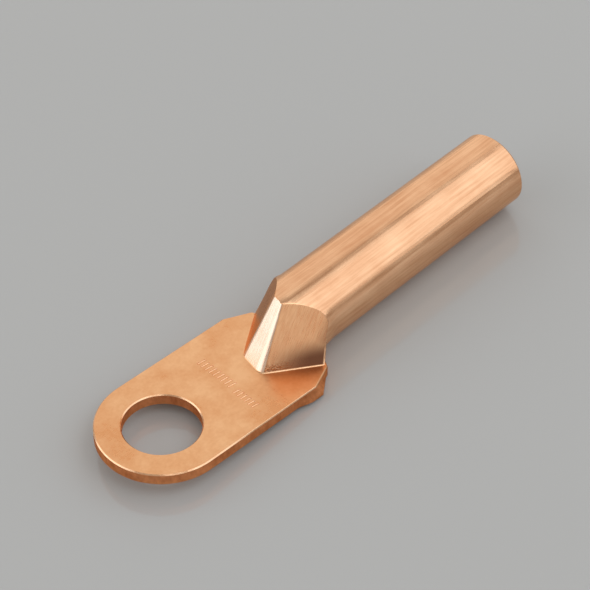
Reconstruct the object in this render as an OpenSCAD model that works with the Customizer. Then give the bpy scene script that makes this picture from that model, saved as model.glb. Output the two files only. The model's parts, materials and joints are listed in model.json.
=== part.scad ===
// Copper cable lug, made in one piece from round bar.
// One end is drilled for the wire. The other end is pressed flat as a palm with a bolt hole.
// The barrel lies along X with its open end towards +X, and its lowest line is on Z = 0.
// The origin is under the middle of the lug's overall length.
// All lengths are in millimetres and all angles in degrees.

/* [Barrel] */
// Length of the lug from the tip of the palm to the open end of the barrel
overall_l = 72.7; // [68:0.1:90]
// Outer diameter of the barrel
barrel_d = 11; // [9.5:0.1:13]
// Diameter of the bore that takes the wire
bore_d = 7; // [4:0.1:8.5]
// Depth of the bore at its full diameter
bore_depth = 34; // [20:0.5:38]
// Angle of the drill point at the bottom of the bore
drill_angle = 118; // [90:1:140]
// Bevel round the outside of the barrel's mouth
mouth_bevel = 0.4; // [0.1:0.05:0.7]
// Bevel round the mouth of the bore
bore_bevel = 0.4; // [0.1:0.05:0.7]

/* [Palm] */
// Width of the palm
palm_w = 18; // [15.5:0.1:24]
// Thickness of the palm
palm_t = 1.8; // [1.2:0.1:3]
// Diameter of the bolt hole
hole_d = 10.5; // [5:0.1:12]
// Distance from the centre of the bolt hole to the tip
tip_from_hole = 8.8; // [7.5:0.1:10.5]
// Distance from the centre of the bolt hole to the end of the palm's straight sides
side_from_hole = 19; // [12:0.1:21]
// Distance from the centre of the bolt hole to the heel's corners
heel_from_hole = 22.8; // [22:0.1:28]
// Width of the palm across the heel's corners
heel_w = 14.6; // [12:0.1:15]
// Length of the tail by which the palm runs in under the neck behind the heel
tail_l = 1.4; // [1:0.1:2.5]
// Width of the tail's end
tail_w = 9.4; // [6:0.1:10]
// Width of the lip on each side of the palm at the heel
lip_w = 0.45; // [0.1:0.05:0.8]
// Length over which the lip grows out of the palm's side
lip_l = 3.5; // [2:0.1:5]
// Height of the lip's upright edge above the palm's underside
lip_h = 0.5; // [0.2:0.1:0.9]
// Angle by which the palm rises from the heel to the tip
palm_tilt = 4.3; // [1:0.1:8]
// Height of the palm's underside at the heel above the barrel's lowest line
heel_lift = 0.2; // [0.1:0.05:1]
// Bevel along the edges of the palm and of the bolt hole
edge_bevel = 0.15; // [0.05:0.05:0.4]

/* [Shoulder] */
// Distance from the centre of the bolt hole to the foot of the nose
nose_from_hole = 15.7; // [13:0.1:18]
// Steepness of the flat that runs up the nose
flat_angle = 57; // [48:1:66]
// Angle by which the nose's flat is turned towards +Y, seen from above
flat_turn = 11; // [0:1:15]
// Angle between each slanted facet and the lug's centre line, seen from above
facet_angle = 31; // [26:1:36]
// Width of the flat where it meets the palm, from facet to facet
flat_foot_w = 4.1; // [3:0.1:5]
// Width of the flat at the top of the barrel, from facet to facet
flat_top_w = 1.7; // [1.2:0.1:2.5]
// Radius of the nose's two ridges where they meet the palm
ridge_foot_r = 1.4; // [0.5:0.1:1.8]
// Radius of the nose's two ridges at the top of the barrel
ridge_top_r = 0.5; // [0.2:0.1:0.7]
// Width of the neck's foot, which the facets meet at the heel
foot_w = 13.5; // [11.5:0.1:14]
// Length behind the heel over which the foot narrows into the neck
foot_l = 1.6; // [1:0.1:2]
// Length from the heel's corners to the end of the facets
neck_l = 2.4; // [2:0.1:4]
// Distance by which the press swells each side of the bar along the facets
swell = 0.35; // [0.1:0.05:0.6]
// Length behind the facets over which the swollen sides run out into the barrel
swell_l = 2.6; // [1:0.1:4]
// Distance by which the nose and its facets stand off the bar's centre line, towards -Y
nose_offset = 0.4; // [0:0.05:0.6]

/* [Hidden] */
$fn = 96;
barrel_r = barrel_d / 2;
bore_r = bore_d / 2;
hole_r = hole_d / 2;
palm_r = palm_w / 2;
open_x = overall_l / 2;
hole_x = -overall_l / 2 + tip_from_hole * cos(palm_tilt) - edge_bevel * sin(palm_tilt);
heel_x = hole_x + heel_from_hole * cos(palm_tilt);
nose_x = hole_x + nose_from_hole * cos(palm_tilt);
neck_x = heel_x + neck_l;
run_x = neck_x + swell_l;
// Place of the ends of the palm's straight sides, measured from the heel
side_x = side_from_hole - heel_from_hole;
// Height of the palm's upper face at the tip of the nose
nose_z = heel_lift + (heel_from_hole - nose_from_hole) * sin(palm_tilt) + palm_t * cos(palm_tilt);
// Distance behind the heel at which the palm's underside meets the barrel's lowest line
runout = heel_lift / sin(palm_tilt);
// Distance by which the inside of a spread part stays under the bar's surface
inset = 0.2;
// Thickness of the edges between which the wedge is spread
edge_t = 0.01;
// Distance by which a cutting shape runs past the face that it cuts
over = 1;

// Places a shape in the palm's own frame, on its underside with the heel at X = 0
module on_palm() {
    translate([heel_x, 0, heel_lift])
        rotate([0, palm_tilt, 0])
            children();
}

// Shape turned round the barrel's axis from a profile of [radius, place along X] points
module turned(profile) {
    translate([0, 0, barrel_r])
        rotate([0, 90, 0])
            rotate_extrude()
                polygon(profile);
}

// Round bar along X, from one place to another
module bar(from_x, to_x, r = barrel_r) {
    translate([from_x, 0, barrel_r])
        rotate([0, 90, 0])
            cylinder(r = r, h = to_x - from_x);
}

// Round barrel with a bevelled mouth
module barrel() {
    turned([
        [0, neck_x],
        [barrel_r, neck_x],
        [barrel_r, open_x - mouth_bevel],
        [barrel_r - mouth_bevel, open_x],
        [0, open_x]
    ]);
}

// Nose and rear edge of the wedge's level section at a height z
module wedge_edges(z) {
    rise = z - nose_z;
    share = rise / (barrel_d - nose_z);
    flat_w = flat_foot_w + (flat_top_w - flat_foot_w) * share;
    r = ridge_foot_r + (ridge_top_r - ridge_foot_r) * share;
    // Distance from the flat to the line in which the two facets would meet
    cut_off = flat_w / (tan(facet_angle - flat_turn) + tan(facet_angle + flat_turn));
    meet_x = nose_x + rise / tan(flat_angle) - cut_off / cos(flat_turn);
    rear_x = run_x + over;
    rear_w = nose_offset + (rear_x - meet_x) * tan(facet_angle);
    for (side = [-1, 1])
        translate([
            meet_x + ((cut_off + r) * cos(facet_angle) - side * r * sin(flat_turn))
                / cos(facet_angle + side * flat_turn),
            side * ((cut_off + r) * sin(facet_angle) - r * cos(flat_turn))
                / cos(facet_angle + side * flat_turn) - nose_offset,
            z
        ])
            cylinder(r = r, h = edge_t);
    translate([rear_x, -rear_w, z])
        cube([edge_t, 2 * rear_w, edge_t]);
}

// Bar with swollen sides, from the nose to a place behind the heel
module swollen_bar(to_x) {
    inner_r = barrel_r - inset;
    scale([1, (barrel_r + swell) / inner_r, 1])
        bar(nose_x - over, to_x, inner_r);
}

// Bar swollen at its sides and spread at its foot, out to the heel of the palm
module spread_bar() {
    bar(nose_x - over, run_x);
    hull() {
        swollen_bar(neck_x);
        bar(neck_x, run_x, barrel_r - inset);
    }
    hull() {
        swollen_bar(heel_x + foot_l);
        on_palm()
            translate([nose_from_hole - heel_from_hole, -foot_w / 2, 0])
                cube([heel_from_hole - nose_from_hole, foot_w, palm_t]);
    }
}

// Shoulder: the spread bar cut back by two slanted facets that meet in the nose
module shoulder() {
    difference() {
        intersection() {
            spread_bar();
            hull() {
                wedge_edges(-over);
                wedge_edges(barrel_d + over);
            }
        }
        on_palm()
            translate([-heel_from_hole, -palm_w, -barrel_d])
                cube([heel_from_hole + runout, 2 * palm_w, barrel_d]);
    }
}

// Outline of the palm: round tip, straight sides, slanted sides to the heel and the tail
module palm_outline() {
    round_x = palm_r - tip_from_hole - heel_from_hole;
    translate([round_x, 0])
        circle(r = palm_r);
    polygon([
        [round_x, -palm_r],
        [side_x, -palm_r],
        [0, -heel_w / 2],
        [tail_l, -tail_w / 2],
        [tail_l, tail_w / 2],
        [0, heel_w / 2],
        [side_x, palm_r],
        [round_x, palm_r]
    ]);
}

// Lip low on one side of the palm, where the press squeezed the copper out at the heel
module lip() {
    on_palm()
        hull() {
            linear_extrude(height = lip_h)
                polygon([
                    [side_x - lip_l, palm_r - inset],
                    [side_x - lip_l / 3, palm_r + lip_w],
                    [side_x + lip_l / 4, palm_r + lip_w],
                    [0, heel_w / 2 - inset],
                    [side_x, palm_r - palm_t]
                ]);
            linear_extrude(height = palm_t - edge_bevel)
                polygon([
                    [side_x - lip_l, palm_r - inset],
                    [side_x, palm_r - inset],
                    [side_x, palm_r - palm_t]
                ]);
        }
}

// Flat palm with bevelled edges, cut off at the level of the barrel's lowest line
module palm() {
    difference() {
        on_palm()
            hull() {
                linear_extrude(height = palm_t)
                    offset(delta = -edge_bevel)
                        palm_outline();
                translate([0, 0, edge_bevel])
                    linear_extrude(height = palm_t - 2 * edge_bevel)
                        palm_outline();
            }
        translate([heel_x - over, -palm_w, -over])
            cube([tail_l + 2 * over, 2 * palm_w, over]);
    }
}

// Blind bore for the wire, with its drill point and its bevelled mouth
module wire_bore() {
    bottom_x = open_x - bore_depth;
    turned([
        [0, bottom_x - bore_r / tan(drill_angle / 2)],
        [bore_r, bottom_x],
        [bore_r, open_x - bore_bevel],
        [bore_r + bore_bevel + over, open_x + over],
        [0, open_x + over]
    ]);
}

// Bolt hole through the palm, bevelled on both faces
module bolt_hole() {
    bevel_r = hole_r + edge_bevel + over;
    on_palm()
        translate([-heel_from_hole, 0, 0]) {
            translate([0, 0, -over])
                cylinder(r = hole_r, h = palm_t + 2 * over);
            translate([0, 0, -over])
                cylinder(r1 = bevel_r, r2 = hole_r, h = edge_bevel + over);
            translate([0, 0, palm_t - edge_bevel])
                cylinder(r1 = hole_r, r2 = bevel_r, h = edge_bevel + over);
        }
}

module cable_lug() {
    color("peru")
        difference() {
            union() {
                barrel();
                shoulder();
                palm();
                lip();
                mirror([0, 1, 0])
                    lip();
            }
            wire_bore();
            bolt_hole();
        }
}

cable_lug();
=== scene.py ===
# Copper cable lug, lying on its barrel on a plain floor.
import bmesh
import bpy
import json
import math
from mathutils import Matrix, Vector


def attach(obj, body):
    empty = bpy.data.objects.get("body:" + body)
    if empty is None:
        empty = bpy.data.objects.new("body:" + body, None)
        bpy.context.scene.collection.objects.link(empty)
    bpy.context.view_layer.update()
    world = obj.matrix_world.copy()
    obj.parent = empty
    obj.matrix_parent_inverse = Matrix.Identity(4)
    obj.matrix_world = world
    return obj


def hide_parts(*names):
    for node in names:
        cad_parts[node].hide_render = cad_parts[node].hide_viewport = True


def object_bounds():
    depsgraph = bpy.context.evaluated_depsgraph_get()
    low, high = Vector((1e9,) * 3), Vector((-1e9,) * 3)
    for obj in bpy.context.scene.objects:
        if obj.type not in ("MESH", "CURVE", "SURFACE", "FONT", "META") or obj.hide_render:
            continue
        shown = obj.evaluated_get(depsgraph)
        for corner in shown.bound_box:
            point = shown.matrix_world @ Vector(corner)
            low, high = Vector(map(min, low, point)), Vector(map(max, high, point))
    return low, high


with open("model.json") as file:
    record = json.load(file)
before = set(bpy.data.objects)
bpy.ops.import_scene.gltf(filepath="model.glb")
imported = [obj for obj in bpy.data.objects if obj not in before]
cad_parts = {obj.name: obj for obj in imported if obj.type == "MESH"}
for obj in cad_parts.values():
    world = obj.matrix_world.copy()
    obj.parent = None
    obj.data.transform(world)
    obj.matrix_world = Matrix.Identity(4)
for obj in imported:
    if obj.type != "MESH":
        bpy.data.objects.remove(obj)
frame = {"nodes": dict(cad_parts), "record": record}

cad_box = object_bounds()

# --- The lug's body -----------------------------------------------------
# One length of solid copper bar. One end is drilled for the wire, and the other is
# pressed between dies into a flat palm, so that its shoulder has a nose and two facets.
# The dies leave the corners and rims of the shoulder a little round.

def only(piece):
    """Selects this piece alone and makes it the active one."""
    bpy.ops.object.select_all(action="DESELECT")
    piece.select_set(True)
    bpy.context.view_layer.objects.active = piece


solid = frame["nodes"]["cable_lug"]
lug = bpy.data.objects.new("lug_body", solid.data.copy())
bpy.context.scene.collection.objects.link(lug)
lug.hide_render = lug.hide_viewport = False
only(lug)

# The palm rises a little from the heel to the tip, so places on it are taken along it and up from it.
mounts = {mount["name"]: mount for mount in frame["record"]["mounts"]}
hole_centre = Vector(mounts["bolt_hole"]["pos_m"])
underside = Vector(mounts["contact_face"]["pos_m"])
up = Vector(mounts["washer_face"]["axis"])
palm_t = (Vector(mounts["washer_face"]["pos_m"]) - underside).dot(up)
along = Vector((up.z, 0, -up.x))
# From the middle of the bolt hole, along the palm, to the nose's foot and to the heel's corners
nose_at, heel_at = 0.0157, 0.0228
heel_x = hole_centre.x + up.z * heel_at


def on_palm(place):
    """Distance of a place from the bolt hole's middle along the palm, and its height over the underside."""
    return (place - hole_centre).dot(along), (place - underside).dot(up)


def middle(edge):
    """Middle of an edge."""
    return (edge.verts[0].co + edge.verts[1].co) / 2


def pick(wanted):
    """Selects the lug's edges for which wanted(edge, angle between its faces in degrees) is true."""
    bpy.ops.mesh.select_mode(type="EDGE")
    bpy.ops.mesh.select_all(action="DESELECT")
    mesh = bmesh.from_edit_mesh(lug.data)
    for edge in mesh.edges:
        if len(edge.link_faces) == 2 and wanted(edge, math.degrees(edge.calc_face_angle_signed())):
            edge.select = True
    bmesh.update_edit_mesh(lug.data)


# The solid's loose triangles are merged into plain faces.
bpy.ops.object.mode_set(mode="EDIT")
bpy.ops.mesh.select_all(action="SELECT")
bpy.ops.mesh.customdata_custom_splitnormals_clear()
bpy.ops.mesh.remove_doubles(threshold=0.00001)
bpy.ops.mesh.dissolve_limited(angle_limit=math.radians(0.3))

# Points that lie too close together to be rounded are drawn together.
too_close = 0.00006


def at_nose_top(edge, angle):
    return all(v.co.z > 0.0107 and -0.0067 < v.co.x < -0.006 for v in edge.verts)


def at_crease_end(edge, angle):
    return all(v.co.y < -0.0055 and -0.0035 < v.co.x < -0.003 and v.co.z > 0.0055 for v in edge.verts)


pick(at_nose_top)
bpy.ops.mesh.remove_doubles(threshold=too_close)

# Rings round the neck and the barrel, close together next to the shoulder.
ring_places = (
    heel_x - 0.00015, -0.0019, -0.0011, -0.0003, 0.0005, 0.0014,
    0.004, 0.010, 0.016, 0.022, 0.028, 0.034,
)
for ring_x in ring_places:
    bpy.ops.mesh.select_all(action="SELECT")
    bpy.ops.mesh.bisect(plane_co=(ring_x, 0, 0), plane_no=(1, 0, 0))

pick(at_crease_end)
bpy.ops.mesh.remove_doubles(threshold=too_close)


# The dies leave a small round in the corner between the nose and the palm.
def in_foot(edge, angle):
    ends = [on_palm(v.co) for v in edge.verts]
    return angle < -20 and all(abs(high - palm_t) < 0.000005 and at < heel_at - 0.0001 for at, high in ends)


pick(in_foot)
bpy.ops.mesh.bevel(offset=0.00016, segments=3, clamp_overlap=False)


# The rims of the two facets and of the nose's top are worn a little round.
def on_rim(edge, angle):
    place = middle(edge)
    return angle > 20 and place.z > 0.0034 and place.x < -0.001 and on_palm(place)[0] > nose_at + 0.001


pick(on_rim)
bpy.ops.mesh.bevel(offset=0.0001, segments=2, clamp_overlap=False)
bpy.ops.object.mode_set(mode="OBJECT")

# The maker's place on the palm bears only plain strokes, struck with a blunt punch in two rows.
punch_w, punch_h, punch_round = 0.00036, 0.0004, 0.00014
punch_lift = 0.00008
punches = []


def strike_row(row_at, first_y, count, pitch, stroke):
    """Sets the punches of one row, side by side across the palm."""
    for step in range(count):
        bpy.ops.object.select_all(action="DESELECT")
        bpy.ops.mesh.primitive_cube_add(size=1)
        punch = bpy.context.active_object
        punch.scale = (stroke, punch_w, punch_h)
        bpy.ops.object.transform_apply(location=False, rotation=False, scale=True)
        bpy.ops.object.mode_set(mode="EDIT")
        bpy.ops.mesh.select_all(action="SELECT")
        bpy.ops.mesh.bevel(offset=punch_round, segments=3)
        bpy.ops.object.mode_set(mode="OBJECT")
        punch.rotation_euler = (0, math.atan2(up.x, up.z), math.radians(-6))
        on_top = hole_centre + along * row_at + up * (palm_t / 2 + punch_lift)
        punch.location = on_top + Vector((0, first_y - step * pitch, 0))
        punches.append(punch)


strike_row(row_at=0.0113, first_y=0.0048, count=9, pitch=0.00074, stroke=0.0014)
strike_row(row_at=0.0109, first_y=-0.0024, count=6, pitch=0.0007, stroke=0.0012)
bpy.ops.object.select_all(action="DESELECT")
for punch in punches:
    punch.select_set(True)
bpy.context.view_layer.objects.active = punches[0]
bpy.ops.object.join()
strokes = bpy.context.active_object
only(lug)
struck = lug.modifiers.new("strokes", "BOOLEAN")
struck.operation = "DIFFERENCE"
struck.solver = "EXACT"
struck.object = strokes
bpy.ops.object.modifier_apply(modifier="strokes")
bpy.data.objects.remove(strokes)

# The sheen runs smoothly over the round surfaces and breaks at the real edges.
only(lug)
bpy.ops.object.shade_smooth_by_angle(angle=math.radians(30))


# The copper that was squeezed out low at the heel is blunt all over.
def in_lip(edge, angle):
    at, high = on_palm(middle(edge))
    beside_heel = 0.014 < at < 0.0236 and abs(middle(edge).y) > 0.0066
    return beside_heel and 0.00002 < high < palm_t - 0.0001 and abs(angle) < 70


bpy.ops.object.mode_set(mode="EDIT")
pick(in_lip)
bpy.ops.mesh.mark_sharp(clear=True)
bpy.ops.object.mode_set(mode="OBJECT")
even = lug.modifiers.new("even_shine", "WEIGHTED_NORMAL")
even.keep_sharp = True
bpy.ops.object.modifier_apply(modifier="even_shine")


# Every surface is bare copper, and each keeps the marks of what made it: the drawing die along
# the barrel, the press on the palm, the wedge's ground faces on the shoulder, the shear on the edges.
# Some finishes also carry painted highlights and painted shade, noted where they are made.
def copper(name, dark, light, shine, grain, depth, patch, grain_tone, turn=(0, 0, 0), edge_tint=(1, 1, 1)):
    """Bare copper with patches between two tones, and a fine grain of this size on its own turned axes."""
    finish = bpy.data.materials.new(name)
    finish.use_nodes = True
    nodes, links = finish.node_tree.nodes, finish.node_tree.links
    skin = nodes["Principled BSDF"]
    skin.inputs["Metallic"].default_value = 1.0
    skin.inputs["Specular Tint"].default_value = (*edge_tint, 1)
    place = nodes.new("ShaderNodeTexCoord").outputs["Object"]

    stretch = nodes.new("ShaderNodeMapping")
    stretch.vector_type = "TEXTURE"
    stretch.inputs["Rotation"].default_value = [math.radians(a) for a in turn]
    stretch.inputs["Scale"].default_value = grain
    links.new(place, stretch.inputs["Vector"])
    fine = nodes.new("ShaderNodeTexNoise")
    fine.name = "grain"
    fine.inputs["Scale"].default_value = 1.0
    fine.inputs["Detail"].default_value = 5.0
    fine.inputs["Roughness"].default_value = 0.6
    links.new(stretch.outputs["Vector"], fine.inputs["Vector"])

    broad = nodes.new("ShaderNodeTexNoise")
    broad.inputs["Scale"].default_value = patch
    broad.inputs["Detail"].default_value = 4.0
    broad.inputs["Roughness"].default_value = 0.6
    links.new(place, broad.inputs["Vector"])

    weaker = nodes.new("ShaderNodeMath")
    weaker.operation = "MULTIPLY"
    weaker.inputs[1].default_value = 1 - grain_tone
    links.new(broad.outputs["Fac"], weaker.inputs[0])
    blend = nodes.new("ShaderNodeMath")
    blend.operation = "MULTIPLY_ADD"
    blend.inputs[1].default_value = grain_tone
    links.new(fine.outputs["Fac"], blend.inputs[0])
    links.new(weaker.outputs[0], blend.inputs[2])

    tones = nodes.new("ShaderNodeValToRGB")
    tones.name = "tones"
    for stop, position, tone in zip(tones.color_ramp.elements, (0.36, 0.64), (dark, light)):
        stop.position = position
        stop.color = (*tone, 1)
    links.new(blend.outputs[0], tones.inputs["Fac"])
    links.new(tones.outputs["Color"], skin.inputs["Base Color"])

    polish = nodes.new("ShaderNodeMapRange")
    polish.inputs["From Min"].default_value = 0.3
    polish.inputs["From Max"].default_value = 0.7
    polish.inputs["To Min"].default_value = shine[0]
    polish.inputs["To Max"].default_value = shine[1]
    links.new(blend.outputs[0], polish.inputs["Value"])
    links.new(polish.outputs["Result"], skin.inputs["Roughness"])

    relief = nodes.new("ShaderNodeBump")
    relief.name = "relief"
    relief.inputs["Distance"].default_value = depth
    links.new(fine.outputs["Fac"], relief.inputs["Height"])
    links.new(relief.outputs["Normal"], skin.inputs["Normal"])
    return finish


# The wedge's ground faces print their streaks along the slope of the nose.
slope_turn = (0, -56, 0)
slope_grain = (0.004, 0.00016, 0.00016)
drawn = copper("drawn_copper", (0.74, 0.37, 0.19), (0.98, 0.58, 0.335), shine=(0.18, 0.27),
               grain=(0.009, 0.0004, 0.0004), depth=0.000005, patch=150, grain_tone=0.6,
               edge_tint=(0.97, 0.84, 0.73))
pressed = copper("pressed_copper", (0.78, 0.36, 0.155), (0.94, 0.53, 0.27), shine=(0.24, 0.38),
                 grain=(0.0005, 0.0005, 0.0005), depth=0.00001, patch=190, grain_tone=0.25)
ground = copper("ground_copper", (0.76, 0.35, 0.17), (0.99, 0.575, 0.315), shine=(0.22, 0.36),
                grain=slope_grain, depth=0.000012, patch=260, grain_tone=0.6, turn=slope_turn,
                edge_tint=(0.92, 0.66, 0.5))
# Sheared copper is duller and redder, and its tones are made darker still as painted shade on the hole's
# wall and the palm's sides.
sheared_and_shaded = copper("sheared_shaded_copper", (0.62, 0.205, 0.075), (0.91, 0.38, 0.16), shine=(0.32, 0.50),
                 grain=(0.0004, 0.0004, 0.0009), depth=0.00003, patch=500, grain_tone=0.45,
                 edge_tint=(0.92, 0.62, 0.45))
# Paler worn copper: real wear on the palm's front rim, and also a painted highlight there and on one side
# of the nose's foot.
worn_and_highlit = copper("worn_highlit_copper", (0.85, 0.45, 0.24), (1.0, 0.64, 0.39), shine=(0.16, 0.30),
              grain=(0.0003, 0.0003, 0.0003), depth=0.00001, patch=1100, grain_tone=0.4)
# The nose's flat gets a paler copper: a painted highlight on its polished strip.
highlit_flat = copper("highlit_flat_copper", (0.88, 0.56, 0.38), (1.0, 0.78, 0.60), shine=(0.20, 0.34),
                grain=slope_grain, depth=0.000012, patch=260, grain_tone=0.6, turn=slope_turn)

# The wedge's tip tore the copper a little along the nose's foot, leaving small dark pits. The facets
# are also painted darker in the low corner, at the rim and on the far side: this is painted shade.
nodes, links = ground.node_tree.nodes, ground.node_tree.links
place = nodes["Texture Coordinate"].outputs["Object"]
axes = nodes.new("ShaderNodeSeparateXYZ")
links.new(place, axes.inputs[0])
across, height = axes.outputs["Y"], axes.outputs["Z"]


def fade(value, start, end, low=0.0, high=1.0):
    """Goes softly from low at start to high at end."""
    ramp = nodes.new("ShaderNodeMapRange")
    ramp.interpolation_type = "SMOOTHSTEP"
    for socket, number in (("From Min", start), ("From Max", end), ("To Min", low), ("To Max", high)):
        ramp.inputs[socket].default_value = number
    links.new(value, ramp.inputs["Value"])
    return ramp.outputs["Result"]


def combine(operation, one, other):
    """Two values, each a number or a node's output, put through a Math node."""
    node = nodes.new("ShaderNodeMath")
    node.operation = operation
    for socket, value in zip(node.inputs, (one, other)):
        if isinstance(value, float):
            socket.default_value = value
        else:
            links.new(value, socket)
    return node.outputs[0]


tears = nodes.new("ShaderNodeTexNoise")
tears.inputs["Scale"].default_value = 5000
tears.inputs["Detail"].default_value = 1.0
links.new(place, tears.inputs["Vector"])
tear_strength = 14.0
torn_width = combine("MULTIPLY", fade(across, -0.0006, -0.0016), fade(across, -0.0046, -0.0032))
torn = combine("MULTIPLY", fade(height, 0.0040, 0.0030), torn_width)
torn_relief = combine("MULTIPLY", combine("MULTIPLY", tears.outputs["Fac"], torn), tear_strength)
heights = combine("ADD", torn_relief, nodes["grain"].outputs["Fac"])
links.new(heights, nodes["relief"].inputs["Height"])

# Painted shade: darker in the facets' low corner, along their rim and on the far side.
painted_corner_shade = combine("MULTIPLY", fade(height, 0.0062, 0.0032), fade(across, -0.0010, -0.0056))
painted_far_side_shade = combine("MULTIPLY", fade(across, 0.0006, 0.0020, 0.0, 0.45), fade(height, 0.0026, 0.0050))
painted_rim_shadow = fade(across, -0.0047, -0.0061, 0.0, 0.55)
pits = combine("MULTIPLY", torn, fade(tears.outputs["Fac"], 0.54, 0.46, 0.0, 0.75))
painted_shade_and_pits = combine("MAXIMUM", painted_corner_shade, painted_far_side_shade)
painted_shade_and_pits = combine("MAXIMUM", painted_shade_and_pits, painted_rim_shadow)
painted_shade_and_pits = combine("MAXIMUM", painted_shade_and_pits, pits)
# The dark tone (0.2, 0.085, 0.046) is painted shade on the facets, and also the colour of the pits.
shade = nodes.new("ShaderNodeMix")
shade.data_type = "RGBA"
shade.inputs["B"].default_value = (0.2, 0.085, 0.046, 1)
links.new(painted_shade_and_pits, shade.inputs["Factor"])
links.new(nodes["tones"].outputs["Color"], shade.inputs["A"])
links.new(shade.outputs["Result"], nodes["Principled BSDF"].inputs["Base Color"])

# Each face takes the finish of what made it, from where it lies and how it leans. The worn finish
# on the palm's front rim and on one side of the nose's foot is also a painted highlight.
lug.data.materials.clear()
finishes = [drawn, pressed, ground, sheared_and_shaded, worn_and_highlit, highlit_flat]
for finish in finishes:
    lug.data.materials.append(finish)
bar_r = (cad_box[1].z - cad_box[0].z) / 2
palm_end = heel_at + 0.0024      # the end of the tail under the neck
slant_at = 0.0185                # where the palm's sides start to slant to the heel
foot_top = palm_t + 0.0002       # the top of the small round at the nose's foot
highlit_side = -0.0018            # the foot's round gets a painted highlight only on this side of the nose
shoulder_x = -0.002              # the shoulder's faces lie before this
for face in lug.data.polygons:
    at, high = on_palm(face.center)
    lean = face.normal.dot(up)
    off_axis = math.hypot(face.center.y, face.center.z - bar_r)
    in_palm = at < palm_end and high < palm_t + 0.00001
    on_shoulder = face.center.x < shoulder_x and off_axis < bar_r + 0.003
    if in_palm and abs(lean) > 0.95:
        finish = pressed
    # The palm's top rim before the slant gets the worn finish: real wear and a painted highlight.
    elif in_palm and palm_t - 0.0003 < high < palm_t - 0.00002 and 0.3 < lean < 0.95:
        finish = worn_and_highlit if at < slant_at else pressed
    elif in_palm:
        finish = sheared_and_shaded
    elif palm_t < high < foot_top and lean > 0.4 and at < heel_at:
        finish = worn_and_highlit if face.center.y < highlit_side else pressed
    elif on_shoulder and face.normal.x < -0.66:
        finish = highlit_flat
    elif on_shoulder and face.normal.x < -0.2:
        finish = ground
    else:
        finish = drawn
    face.material_index = finishes.index(finish)

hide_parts("cable_lug")
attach(lug, "root")

# --- Floor --------------------------------------------------------------
# A plain pale sheet with a little gloss, much wider than the lug that lies on it.
# It is the stage and no part of the lug.
floor_size = 3.0
bpy.ops.object.select_all(action="DESELECT")
bpy.ops.mesh.primitive_plane_add(size=floor_size, location=(0, 0, 0))
floor = bpy.context.active_object
floor.name = "floor"
floor_paint = bpy.data.materials.new("floor_paint")
floor_paint.use_nodes = True
paint = floor_paint.node_tree.nodes["Principled BSDF"]
paint.inputs["Base Color"].default_value = (0.455, 0.45, 0.435, 1)
paint.inputs["Roughness"].default_value = 0.1
floor.data.materials.append(floor_paint)

# --- Studio light -------------------------------------------------------
# Soft lamps round the lug: a large one on the right, wide panels behind it, on the left and
# in front, and a smaller one above. The room is dim and nearly white.

def soft_lamp(name, toward, distance, width, height, shine, tint=(1, 1, 1)):
    """A rectangular lamp in the direction toward, that shows this bright in a mirror."""
    data = bpy.data.lights.new(name, "AREA")
    data.shape = "RECTANGLE"
    data.size, data.size_y = width, height
    data.energy = shine * math.pi * width * height
    data.color = tint
    lamp = bpy.data.objects.new(name, data)
    bpy.context.scene.collection.objects.link(lamp)
    way = Vector(toward).normalized()
    lamp.location = way * distance
    lamp.rotation_mode = "QUATERNION"
    lamp.rotation_quaternion = way.to_track_quat("Z", "Y")


soft_lamp("key_lamp", (0.525, -0.58, 0.625), 1.0, 1.3, 1.15, shine=0.82, tint=(0.92, 1.05, 1.2))
soft_lamp("back_panel", (0.48, 0.74, 0.46), 1.2, 2.1, 1.62, shine=0.48, tint=(0.98, 1.0, 1.02))
soft_lamp("top_lamp", (-0.08, -0.42, 0.9), 1.0, 0.8, 0.8, shine=0.8, tint=(0.98, 1.0, 1.02))
soft_lamp("front_panel", (-0.43, -0.9, 0.2), 1.2, 1.0, 0.7, shine=0.4)
soft_lamp("left_panel", (-0.81, 0.47, 0.36), 1.0, 1.35, 0.75, shine=1.2, tint=(0.93, 1.0, 1.12))

room = bpy.data.worlds.new("room")
room.use_nodes = True
room.node_tree.nodes["Background"].inputs["Color"].default_value = (0.44, 0.42, 0.395, 1)
bpy.context.scene.world = room
bpy.context.scene.view_settings.view_transform = "Standard"

# --- Camera -------------------------------------------------------------
# It stands beyond the palm, to the left of the lug, and looks down on it through a long lens.
# The lug lies across the frame, from low on the left to high on the right.
lens = bpy.data.cameras.new("camera")
lens.lens = 124.8
lens.sensor_width = 36
lens.clip_start = 0.01
camera = bpy.data.objects.new("camera", lens)
camera.location = (-0.12851, -0.14093, 0.20188)
camera.rotation_euler = [math.radians(a) for a in (44.313, 2.747, -44.466)]
bpy.context.scene.collection.objects.link(camera)
bpy.context.scene.camera = camera
